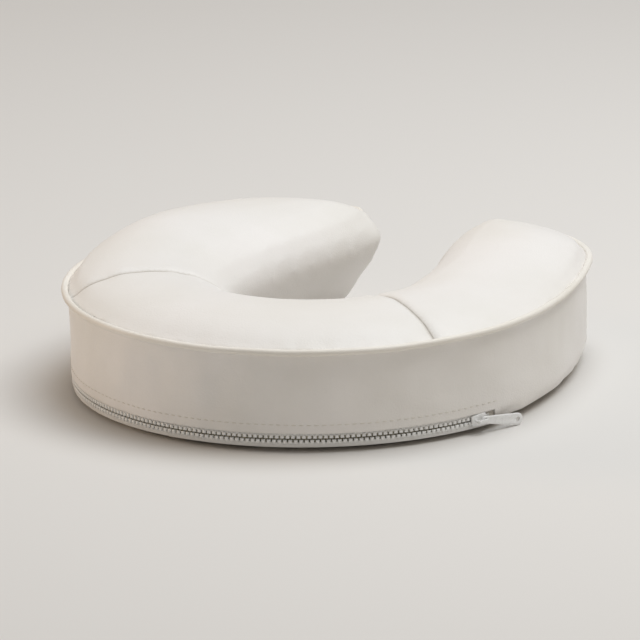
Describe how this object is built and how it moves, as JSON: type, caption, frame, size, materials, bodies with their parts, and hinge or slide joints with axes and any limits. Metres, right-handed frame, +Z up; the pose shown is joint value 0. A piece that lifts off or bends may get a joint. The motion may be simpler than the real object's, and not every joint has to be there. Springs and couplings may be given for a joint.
{
  "type": "face cradle cushion",
  "caption": "Horseshoe face cradle cushion open at the chin: leather-look cover with piping and seams over layered foam, a zip round its lower edge, loop pads beneath.",
  "frame": {"origin": "middle of the cushion's footprint, on the underside of its loop pads", "axes": "+Z up; X runs across the face, left to right seen from the forehead side; -Y is the closed forehead side and +Y the open chin side"},
  "size_m": [0.2846, 0.2936, 0.073],
  "materials": {
    "cover_leather": "ivory polyurethane leather, fine soft grain, low sheen",
    "under_leather": "ivory polyurethane leather, plain, low sheen",
    "piping": "ivory polyurethane leather wrapped round a cord, low sheen",
    "cord": "white twisted polyester cord, matte",
    "firm_foam": "firm open-cell polyurethane foam, matte",
    "soft_foam": "soft open-cell memory foam, matte",
    "zip_tape": "white woven polyester tape, matte",
    "zip_plastic": "white moulded acetal, satin",
    "zip_metal": "white enamelled zinc, semi-gloss",
    "loop_pile": "brushed nylon loop pile, matte"
  },
  "bodies": {
    "cushion": {"cover_front": "cover_leather", "cover_left": "cover_leather", "cover_right": "cover_leather", "side_band": "cover_leather", "bottom_panel": "under_leather", "welt_sleeve": "piping", "welt_cord": "cord", "foam_core": "firm_foam", "foam_topping": "soft_foam", "zip_tape_upper": "zip_tape", "zip_tape_lower": "zip_tape", "zip_teeth_upper": "zip_plastic", "zip_teeth_lower": "zip_plastic", "zip_top_stops": "zip_plastic", "zip_bottom_stop": "zip_plastic", "pad_front": "loop_pile", "pad_left": "loop_pile", "pad_right": "loop_pile"},
    "slider": {"zip_slider": "zip_metal"},
    "pull": {"zip_pull": "zip_metal"}
  },
  "joints": [
    {"name": "zip_travel", "type": "hinge", "parent": "cushion", "child": "slider", "pos_m": [0, -0.0045, 0.0078], "axis": [0, 0, 1], "range_deg": [-148, 0]},
    {"name": "pull_swing", "type": "hinge", "parent": "slider", "child": "pull", "pos_m": [0.13032, -0.05968, 0.0078], "axis": [0.9135, -0.4067, 0], "range_deg": [-128, 145]}
  ]
}
